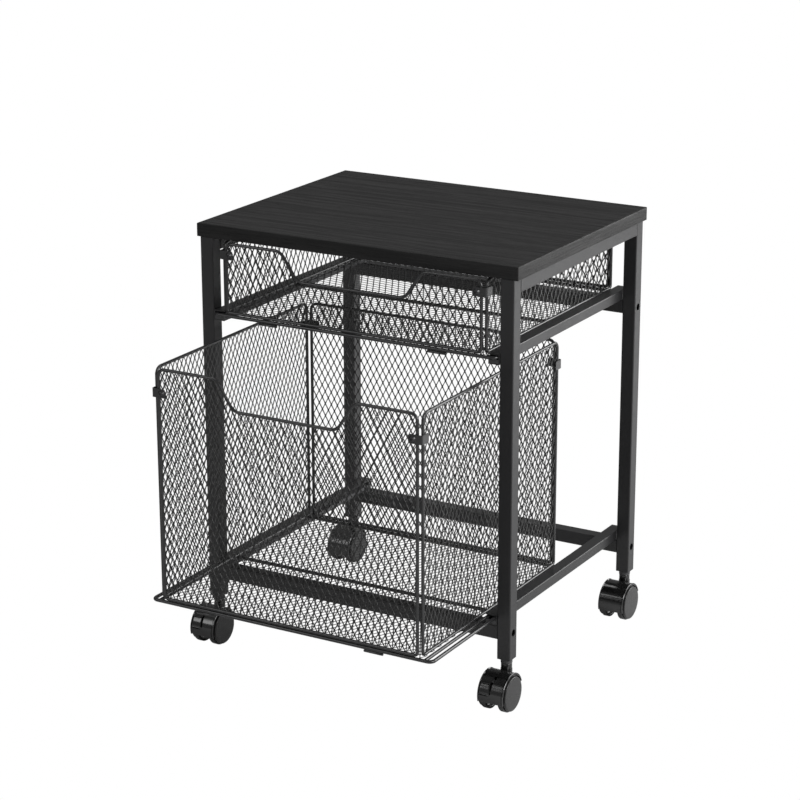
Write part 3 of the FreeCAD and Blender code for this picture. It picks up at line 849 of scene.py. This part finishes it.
def cornerPath(across, ahead, low, high, look):
    # middle line of a clip at a drawer corner: across and ahead are +1 or -1 outwards
    half = look["thickness"] / 2
    x = (high.x if across > 0 else low.x) - across * half
    y = (high.y if ahead > 0 else low.y) - ahead * half
    bend = look["bend"] - half
    points, normals = [], []
    start, middle = across * look["frontReach"], Vector((x - across * bend, y - ahead * bend, 0))
    front = [start + across * look["tabRound"] * k / 5 for k in range(6)]
    front += [front[-1] + (middle.x - front[-1]) * k / 4 for k in range(1, 5)]
    for place in front:
        points.append(Vector((place, y, 0)))
        normals.append(Vector((0, ahead, 0)))
    for k in range(1, 8):
        turn = math.radians(90 * k / 8)
        out = Vector((across * math.sin(turn), ahead * math.cos(turn), 0))
        points.append(middle + out * bend)
        normals.append(out)
    end = y + ahead * half - ahead * look["sideReach"]
    side = [middle.y + (end - middle.y) * k / 4 for k in range(4)]
    lastStraight = end + ahead * look["tabRound"]
    side = [place for place in side if (place - lastStraight) * ahead > 0]
    side += [lastStraight - ahead * look["tabRound"] * k / 5 for k in range(6)]
    for place in side:
        points.append(Vector((x, place, 0)))
        normals.append(Vector((across, 0, 0)))
    return points, normals


def roundHead(centre, out, look, rings=22, around=72):
    # domed screw head with a cross recess and a fine rim
    side = out.cross(zAxis)
    radius, height = look["headRadius"], look["headHeight"]
    deep, reach = look["crossDepth"], look["crossReach"]
    verts, faces = [centre + out * (height - deep)], []
    ball = (radius ** 2 + height ** 2) / (2 * height)
    for ring in range(1, rings + 1):
        r = radius * ring / rings
        dome = height - ball + math.sqrt(ball * ball - r * r)
        if look["rimInner"] < r < look["rimOuter"]:
            dome -= look["rimDepth"]
        for turn in turnSteps(around):
            a, b = r * math.cos(turn), r * math.sin(turn)
            thin, arm = sorted((abs(a), abs(b)))
            inside = thin < look["crossHalf"] and arm < reach
            sink = deep * (1 - look["crossTaper"] * arm / reach) if inside else 0.0
            verts.append(centre + side * a + zAxis * b + out * (dome - sink))
    for k in range(around):
        faces.append([0, 1 + k, 1 + (k + 1) % around])
    for ring in range(rings - 1):
        start, after = 1 + ring * around, 1 + (ring + 1) * around
        for k in range(around):
            n = (k + 1) % around
            faces.append([start + k, after + k, after + n, start + n])
    faces.append([1 + (rings - 1) * around + k for k in range(around)])
    return verts, faces


def hexNut(centre, axis, radius, height, steps=48):
    # six sides with the corners turned off at both ends
    side = axis.cross(zAxis)
    verts, faces = [], []
    levels = ((0.0, 0.86), (0.18, 1.0), (0.82, 1.0), (1.0, 0.86))       # (share of height, of radius)
    for share, limit in levels:
        for turn in turnSteps(steps):
            flat = radius * math.cos(math.pi / 6) / math.cos((turn % (math.pi / 3)) - math.pi / 6)
            r = min(flat, radius * limit)
            away = side * (r * math.cos(turn)) + zAxis * (r * math.sin(turn))
            verts.append(centre + away + axis * (share * height))
    last = (len(levels) - 1) * steps
    for start in range(0, last, steps):
        faces += bandFaces(start, start + steps, steps)
    return verts, faces + [list(range(steps)), list(range(last, last + steps))]


def threadedEnd(centre, axis, look):
    # a short bolt end: ridges of the thread, chamfered at the tip
    pitch, radius = look["threadPitch"], look["boltRadius"]
    profile = [(0.0, 0.0), (0.0, radius)]
    count = int(look["boltLength"] / pitch)
    for k in range(count):
        profile.append((pitch * (k + 0.5), radius * look["threadRoot"]))
        profile.append((pitch * (k + 1), radius if k < count - 1 else radius * look["threadTip"]))
    profile.append((pitch * count, 0.0))
    return lathe(profile, centre, axis, 28)


def buildClips(level):
    body, look = f"{level}_drawer", clipLook
    low, high = boxOf(f"{body}_corner_clips")
    middleZ = (low.z + high.z) / 2
    strips, screws = [], []
    for across in (-1, 1):
        for ahead in (-1, 1):
            path, normals = cornerPath(across, ahead, low, high, look)
            path = [point + zAxis * middleZ for point in path]
            strips.append(bentStrip(path, normals, look["height"] / 2, look["thickness"], look["tabRound"]))
            outer, out = (high.y if ahead > 0 else low.y), yAxis * ahead
            seat = Vector((across * look["screwAt"], outer, middleZ))
            screws.append(roundHead(seat, out, look))
            screws.append(hexNut(seat - out * look["nutAt"], -out, look["nutRadius"], look["nutHeight"]))
            screws.append(threadedEnd(seat, -out, look))
    addPiece(f"{body}_cornerStraps", joinMeshes(strips), wireCoat, body,
             stands=[f"{body}_corner_clips"])
    addPiece(f"{body}_roundHeadScrews", joinMeshes(screws), blackScrew, body,
             stands=[f"{body}_clip_screws"])


for level in ("lower", "upper"):
    buildClips(level)
print("stage: clips and screws")

# ---- top board

boardPiece = {
    "edgeRound": 0.9 * mm, "cornerRound": 1.2 * mm, "leastRound": 0.25 * mm, "seamInset": 1.5 * mm,
    "seamDepth": 0.12 * mm, "edgeBand": 3.0 * mm, "flatInset": 6.0 * mm, "cornerSteps": 4,
}


def roundedRing(low, high, inset, look, z):
    x0, x1 = low.x + inset, high.x - inset
    y0, y1 = low.y + inset, high.y - inset
    radius = max(look["cornerRound"] - inset, look["leastRound"])
    ring, steps = [], look["cornerSteps"]
    for cx, cy, first in ((x1 - radius, y1 - radius, 0), (x0 + radius, y1 - radius, 90),
                          (x0 + radius, y0 + radius, 180), (x1 - radius, y0 + radius, 270)):
        for k in range(steps + 1):
            turn = math.radians(first + 90 * k / steps)
            ring.append(Vector((cx + radius * math.cos(turn), cy + radius * math.sin(turn), z)))
    return ring


def buildBoard():
    look = boardPiece
    low, high = boxOf("top_board")
    rounding, seam, deep = look["edgeRound"], look["seamInset"], look["seamDepth"]
    turns = [math.radians(90 * k / 4) for k in range(5)]
    arc = [(1 - math.cos(turn), 1 - math.sin(turn)) for turn in turns]
    levels = [(seam, low.z)]
    levels += [(rounding * across, low.z + rounding * up) for up, across in arc]
    levels += [(0.0, low.z + look["edgeBand"]), (0.0, high.z - look["edgeBand"])]
    levels += [(rounding * across, high.z - rounding * up) for across, up in arc]
    levels += [(seam, high.z), (seam + deep, high.z - deep), (seam + 2 * deep, high.z),
               (seam + look["flatInset"], high.z)]
    verts, faces = [], []
    for inset, z in levels:
        verts += roundedRing(low, high, inset, look, z)
    count = len(verts) // len(levels)
    last = len(verts) - count
    for start in range(0, last, count):
        faces += bandFaces(start, start + count, count)
    faces += [list(range(count)), list(range(last, last + count))]
    addPiece("edgedBoard", (verts, faces), boardLaminate, "root", stands=["top_board"])


buildBoard()
print("stage: board")

# ---- casters

hoodLook = {
    "outer": 23.4 * mm, "inner": 21.8 * mm, "skin": 23.0 * mm, "groove": 22.5 * mm, "half": 15.5 * mm,
    "rim": 1.3 * mm, "startAngle": 20.0, "endAngle": 196.0, "trail": 15.2 * mm,
    "windowX": (-14.2 * mm, -1.6 * mm), "windowAngle": (138.0, 176.0),
    "slotX": (-1.6 * mm, 0.5 * mm), "slotAngle": (124.0, 169.0), "slotFloor": 14.0 * mm,
    "slotFootX": -0.2 * mm, "slotFootAngle": 1.5,
    "notchX": (-0.6 * mm, 2.6 * mm), "notchAngle": (117.0, 127.0),
    "webHalf": 1.8 * mm, "webInner": 2.6 * mm, "webLap": 0.1 * mm,
    "bossHalf": 5.2 * mm, "bossRadius": 5.2 * mm, "bossChamfer": (0.4 * mm, 0.6 * mm),
    "socketFoot": 24.0 * mm, "socketLength": 17.0 * mm,
    "neckRadius": 6.5 * mm, "neckFoot": 36.5 * mm, "neckStep": 0.35 * mm, "neckFlange": 0.46,
    "neckRound": 0.6 * mm, "neckBore": 3.7 * mm, "neckBoreDepth": 2.5 * mm,
}
leverLook = {
    "gap": 0.35 * mm, "topAngle": 139.0, "pinAngle": 172.0, "lip": 1.9 * mm, "lipAngle": 4.0,
    "lipSink": 0.4 * mm, "edgeEase": 0.25 * mm, "edgeWidth": 0.2 * mm, "corner": 2.0 * mm,
    "knuckle": 0.78 * mm, "pin": 0.45 * mm, "pinStart": -15.2 * mm, "pinLength": 14.6 * mm,
}
wheelLook = {
    "innerFace": 7.5 * mm, "outerFace": 17.25 * mm, "treadEnd": 13.5 * mm, "treadRound": 0.5 * mm,
    "grooveRadius": 18.2 * mm, "discStart": 14.5 * mm, "discRadius": 19.4 * mm, "discRound": 1.0 * mm,
    "discChamfer": 0.2 * mm, "dome": 0.2 * mm, "recess": 5.0 * mm, "rim": 3.0 * mm, "hub": 7.0 * mm,
    "ridge": 0.08 * mm,
}


def onBarrel(centre, x, radius, degrees):
    # a point round the axle; degrees run from +Y upwards
    turn = math.radians(degrees)
    return centre + Vector((x, radius * math.cos(turn), radius * math.sin(turn)))


def curvedShell(centre, xs, angles, outerAt, innerAt, kept=lambda x, angle: True):
    # a wall round the axle between two radii, leaving out the cells that are not kept
    columns = len(xs)
    verts = [onBarrel(centre, x, radiusAt(x, angle), angle)
             for radiusAt in (outerAt, innerAt) for angle in angles for x in xs]
    cells = []
    for j in range(len(angles) - 1):
        for i in range(columns - 1):
            if kept((xs[i] + xs[i + 1]) / 2, (angles[j] + angles[j + 1]) / 2):
                a = j * columns + i
                cells.append([a, a + 1, a + columns + 1, a + columns])
    return verts, doubleSkin(cells, len(verts) // 2)


def sortedUnique(values):
    result = []
    for value in sorted(values):
        if not result or value - result[-1] > meshRules["sameValue"]:
            result.append(value)
    return result


def within(value, limits):
    return limits[0] < value < limits[1]


def hoodShell(centre, braked):
    look = hoodLook
    half, rim = look["half"], look["rim"]
    slotX, slotEnd = look["slotX"], look["slotAngle"][1]
    footX, footEnd = look["slotFootX"], slotEnd + look["slotFootAngle"]
    rimLines = [0.0, 0.25 * mm, rim / 2, rim, rim + 0.25 * mm, rim + 0.7 * mm, rim + 0.95 * mm]
    xs = [sign * (half - line) for sign in (-1, 1) for line in rimLines]
    xs += [half * k / 8 for k in range(-7, 8)] + [*look["windowX"], *slotX, *look["notchX"], footX, -footX]
    xs = sortedUnique([round(x, 6) for x in xs])
    angles = [look["startAngle"] + 3.0 * k for k in range(59)]
    angles += [*look["windowAngle"], *look["slotAngle"], *look["notchAngle"], slotEnd + 0.8, footEnd]
    angles = sortedUnique([a for a in angles if a < look["endAngle"] - 0.5] + [look["endAngle"]])

    def outerAt(x, angle):
        # from the end inwards: an eased edge, a proud rim, a fine groove, the skin
        fromEnd = half - abs(x)
        if fromEnd < 0.1 * mm:
            return look["outer"] - 0.25 * mm
        if fromEnd < rim - 0.05 * mm:
            return look["outer"]
        return look["groove"] if fromEnd < rim + 0.8 * mm else look["skin"]

    def kept(x, angle):
        return not braked or not (
            within(x, look["windowX"]) and within(angle, look["windowAngle"])
            or within(x, look["notchX"]) and within(angle, look["notchAngle"])
            or within(x, (slotX[0], footX)) and within(angle, (slotEnd, footEnd))
            or within(x, slotX) and within(angle, look["slotAngle"]))

    return curvedShell(centre, xs, angles, outerAt, lambda x, angle: look["inner"], kept)


def hoodInside(centre, stem, braked):
    # web between the wheels, axle boss and stem socket; the web is cut back behind the slot
    look = hoodLook
    angles = [look["startAngle"] + 5.0 * k for k in range(33)]
    xs = [-look["webHalf"], 0.0, look["webHalf"]]
    behindSlot = (look["notchAngle"][0] - 2, look["slotAngle"][1] + 3)

    def webEdge(x, angle):
        return look["slotFloor"] if braked and within(angle, behindSlot) else look["inner"] + look["webLap"]

    web = curvedShell(centre, xs, angles, webEdge, lambda x, angle: look["webInner"])
    end, radius, length = look["bossHalf"], look["bossRadius"], look["socketLength"]
    back, down = look["bossChamfer"]
    boss = [(-end, 0), (-end, radius - down), (back - end, radius),
            (end - back, radius), (end, radius - down), (end, 0)]
    socket = [(0, 0), (0, radius - down), (down, radius), (length, radius), (length, 0)]
    socketFoot = Vector((stem.x, stem.y, look["socketFoot"]))
    return [web, lathe(boss, centre, xAxis, 40), lathe(socket, socketFoot, zAxis, 40)]


def hoodNeck(stem, top):
    # collar on the hood with a stepped flange at its foot and a rounded top
    look = hoodLook
    foot, height = Vector((stem.x, stem.y, look["neckFoot"])), top - look["neckFoot"]
    radius, rounding, bore = look["neckRadius"], look["neckRound"], look["neckBore"]
    upper, flange = radius - look["neckStep"], height * look["neckFlange"]
    profile = [(0, 0), (0, radius), (flange, radius), (flange + 0.2 * mm, upper)]
    profile += arcProfile((height - rounding, upper - rounding), rounding, 90, 0, 5)
    floor = height - look["neckBoreDepth"]
    return lathe(profile + [(height, bore), (floor, bore), (floor, 0)], foot, zAxis, 56)


def wheelMesh(centre, side, radius):
    # a running tread with a moulding ridge, a dark groove, then a smooth disc on the outer side
    look = wheelLook
    inner, face, hub = look["innerFace"], look["outerFace"], look["hub"]
    deep, wall = inner + look["recess"], radius - look["rim"]
    profile = [
        (inner, 0), (inner, hub - 0.4 * mm), (inner + 0.4 * mm, hub), (deep, hub + 0.6 * mm),
        (deep, wall - 0.6 * mm), (deep - 0.6 * mm, wall), (inner + 0.3 * mm, wall), (inner, wall + 0.3 * mm),
        (inner, radius - 0.5 * mm), (inner + 0.2 * mm, radius - 0.15 * mm),
        (inner + 0.5 * mm, radius - 0.03 * mm),
    ]
    end, rounding = look["treadEnd"], look["treadRound"]
    width = end - rounding - inner
    for share in (0.25, 0.47, 0.50, 0.53, 0.75):
        profile.append((inner + width * share, radius - (0.0 if share == 0.50 else look["ridge"])))
    profile += arcProfile((end - rounding, radius - rounding), rounding, 90, 0, 5)
    start, disc, soft, ease = look["discStart"], look["discRadius"], look["discRound"], look["discChamfer"]
    profile += [(end, look["grooveRadius"]), (start, look["grooveRadius"]), (start, disc - ease),
                (start + ease, disc)]
    profile += arcProfile((face - look["dome"] - soft, disc - soft), soft, 90, 8, 8)
    for share in (0.92, 0.78, 0.6, 0.42, 0.25, 0.1, 0):
        profile.append((face - look["dome"] * share ** 2, (disc - soft) * share))
    return lathe([(side * along, r) for along, r in profile], centre, xAxis, 96)


def leverMesh(centre):
    look, barrel = leverLook, hoodLook
    x0, x1 = barrel["windowX"][0] + look["gap"], barrel["windowX"][1] - look["gap"]
    top, pin, lipAngle, corner = look["topAngle"], look["pinAngle"], look["lipAngle"], look["corner"]
    xs = [x0 + (x1 - x0) * k / 16 for k in range(17)]
    angles = [top + lipAngle * share
              for share in (0, 0.06, 0.14, 0.25, 0.38, 0.5, 0.62, 0.75, 0.86, 0.94, 1.0)]
    start = top + lipAngle + 1.0
    angles += [start + (pin - start) * k / 14 for k in range(15)]

    def outerAt(x, angle):
        # a rounded lip along the top, then a plate level with the hood
        share = (angle - top) / lipAngle
        easing = look["edgeEase"] if min(x - x0, x1 - x) < look["edgeWidth"] else 0.0
        if share > 1.0:
            return barrel["skin"] - easing
        bulge = math.sqrt(max(0.0, 1 - (2 * share - 1) ** 2))
        return barrel["skin"] - look["lipSink"] + (look["lip"] + 0.6 * mm) * bulge - easing

    def kept(x, angle):
        # the foot's two corners are rounded off
        down, edge = math.radians(pin - angle) * barrel["outer"], min(x - x0, x1 - x)
        return down > corner or edge > corner or math.hypot(corner - down, corner - edge) < corner * 1.05

    plate = curvedShell(centre, xs, angles, outerAt, lambda x, angle: barrel["inner"], kept)
    middle, ease = (barrel["inner"] + barrel["outer"]) / 2, look["edgeWidth"]
    length, radius = x1 - x0 - 2 * ease, look["knuckle"]
    knuckle = lathe([(0, 0), (0, radius * 0.75), (ease, radius), (length - ease, radius),
                     (length, radius * 0.75), (length, 0)], onBarrel(centre, x0 + ease, middle, pin), xAxis, 24)
    length, radius, tip = look["pinLength"], look["pin"], 0.1 * mm
    rod = lathe([(0, 0), (0, radius - tip), (tip, radius), (length - tip, radius), (length, 0)],
                onBarrel(centre, look["pinStart"], middle, pin), xAxis, 16)
    return joinMeshes([plate, knuckle, rod])


def buildCaster(body, braked):
    axle = middleOf(f"{body}_axle")
    stem = Vector((axle.x, axle.y + hoodLook["trail"], 0))
    top = boxOf(f"{body}_hood")[1].z
    hood = [hoodShell(axle, braked), hoodNeck(stem, top)] + hoodInside(axle, stem, braked)
    addPiece(f"{body}_shellHood", joinMeshes(hood), hoodNylon, body,
             stands=[f"{body}_hood"])
    for side, out in (("left", -1), ("right", 1)):
        node = f"{body}_wheel_{side}"
        low, high = boxOf(node)
        wheel = wheelMesh(Vector((axle.x, axle.y, (high.z + low.z) / 2)), out, (high.z - low.z) / 2)
        addPiece(f"{body}_{side}Roller", wheel, wheelNylon, node, stands=[node])
    if braked:
        node = f"{body}_brake_lever"
        addPiece(f"{body}_pedal", leverMesh(axle), hoodNylon, node, stands=[node])


for end in ("front", "back"):
    for side in ("left", "right"):
        buildCaster(f"caster_{end}_{side}", end == "front")
print("stage: casters")

# ---- weld seams of the frame


def buildWelds():
    parts, look = [], weldLook
    gap, seed = look["edgeGap"], look["firstSeed"]
    for side in ("left", "right"):
        low, high = boxOf(f"top_rail_{side}")
        inner = low.x if side == "right" else high.x
        for y in (low.y, high.y):
            parts.append(weldBead((low.x + gap, y, low.z), (high.x - gap, y, low.z), zAxis, seed))
            upright = seed + look["uprightSeed"]
            parts.append(weldBead((inner, y, low.z + gap), (inner, y, high.z - gap), xAxis, upright))
            seed += look["seedStep"]
        for level in ("lower", "upper"):
            low, high = boxOf(f"{level}_channel_{side}")
            outer = high.x if side == "right" else low.x
            for y in (boxOf(f"leg_front_{side}")[1].y, boxOf(f"leg_back_{side}")[0].y):
                parts.append(weldBead((outer, y, low.z + gap), (outer, y, high.z - gap), xAxis, seed))
                seed += look["seedStep"]
    addPiece("frameWeldSeams", joinMeshes(parts), frameCoat, "root")


buildWelds()
print("stage: welds")

# ---- materials of the carried-over nodes

slotMaterials = {
    "board": boardLaminate, "frame_tube": frameCoat, "drawer_wire": wireCoat, "mesh": meshCoat,
    "fastener": blackScrew, "bright_steel": zincSteel, "insert_plastic": insertNylon,
    "caster_shell": hoodNylon, "caster_wheel": wheelNylon,
}
slotOf = {row["node"]: row["material_slot"] for row in frame["record"]["subparts"]}
for name, node in frame["nodes"].items():
    for slot in node.material_slots:
        slot.material = slotMaterials[slotOf[name]]

# ---- floor, light and camera

floorLook = {"half": 12.0, "colour": grey(0.72), "rough": 0.7, "specular": 0.1}
lightLook = {
    "surround": 0.20, "aim": (0, 0, 0.28),
    "boxes": {
        "key": {"place": (2.3, -0.5, 1.3), "size": (1.0, 1.2), "power": 36.0},
        "back": {"place": (1.4, 1.4, 0.85), "size": (1.6, 1.3), "power": 34.0},
        "top": {"place": (-0.4, 0.4, 2.4), "size": (1.2, 1.2), "power": 9.0},
        "front": {"place": (-1.4, -2.2, 1.5), "size": (0.8, 1.2), "power": 8.0},
    },
}
cameraLook = {
    "sensor": 36.0, "lens": 111.1, "reach": 50.0, "place": (1.3275, -2.3432, 1.1259),
    "turn": (72.5043, 0.1297, 30.0886),     # degrees
}


def addToScene(name, data, place=(0, 0, 0)):
    thing = bpy.data.objects.new(name, data)
    thing.location = place
    bpy.context.scene.collection.objects.link(thing)
    return thing


def buildFloor(look):
    # a pale floor that takes the light and shadows, but is seen as plain white
    half = look["half"]
    mesh = bpy.data.meshes.new("floor")
    corners = [(-half, -half, 0), (half, -half, 0), (half, half, 0), (-half, half, 0)]
    mesh.from_pydata(corners, [], [(0, 1, 2, 3)])
    material, tree, shader = newMaterial(
        "paleFloor", colour=look["colour"], rough=look["rough"], specular=look["specular"])
    glow = tree.nodes.new("ShaderNodeEmission")
    glow.inputs["Color"].default_value = grey(1)
    seen = tree.nodes.new("ShaderNodeLightPath")
    choose = tree.nodes.new("ShaderNodeMixShader")
    tree.links.new(seen.outputs["Is Camera Ray"], choose.inputs["Fac"])
    tree.links.new(shader.outputs["BSDF"], choose.inputs[1])
    tree.links.new(glow.outputs["Emission"], choose.inputs[2])
    tree.links.new(choose.outputs["Shader"], tree.nodes["Material Output"].inputs["Surface"])
    mesh.materials.append(material)
    addToScene("floor", mesh)


def buildLights(look):
    world = bpy.data.worlds.new("studio")
    world.use_nodes = True
    tree = world.node_tree
    background = tree.nodes["Background"]
    background.inputs["Color"].default_value = grey(1)
    seen = tree.nodes.new("ShaderNodeLightPath")
    strength = rangeNode(tree, seen.outputs["Is Camera Ray"], 0.0, 1.0, look["surround"], 1.0, False)
    tree.links.new(strength, background.inputs["Strength"])
    bpy.context.scene.world = world
    for name, box in look["boxes"].items():
        data = bpy.data.lights.new(f"{name}Box", "AREA")
        data.shape = "RECTANGLE"
        data.size, data.size_y = box["size"]
        data.energy = box["power"]
        lamp = addToScene(f"{name}Box", data, box["place"])
        towards = Vector(look["aim"]) - Vector(box["place"])
        lamp.rotation_euler = towards.to_track_quat("-Z", "Y").to_euler()


def buildCamera(look):
    data = bpy.data.cameras.new("camera")
    data.sensor_width, data.lens, data.clip_end = look["sensor"], look["lens"], look["reach"]
    camera = addToScene("camera", data, look["place"])
    camera.rotation_euler = Euler([math.radians(angle) for angle in look["turn"]])
    bpy.context.scene.camera = camera


buildFloor(floorLook)
buildLights(lightLook)
buildCamera(cameraLook)
bpy.context.scene.view_settings.view_transform = "Standard"
print("stage: floor, light and camera")
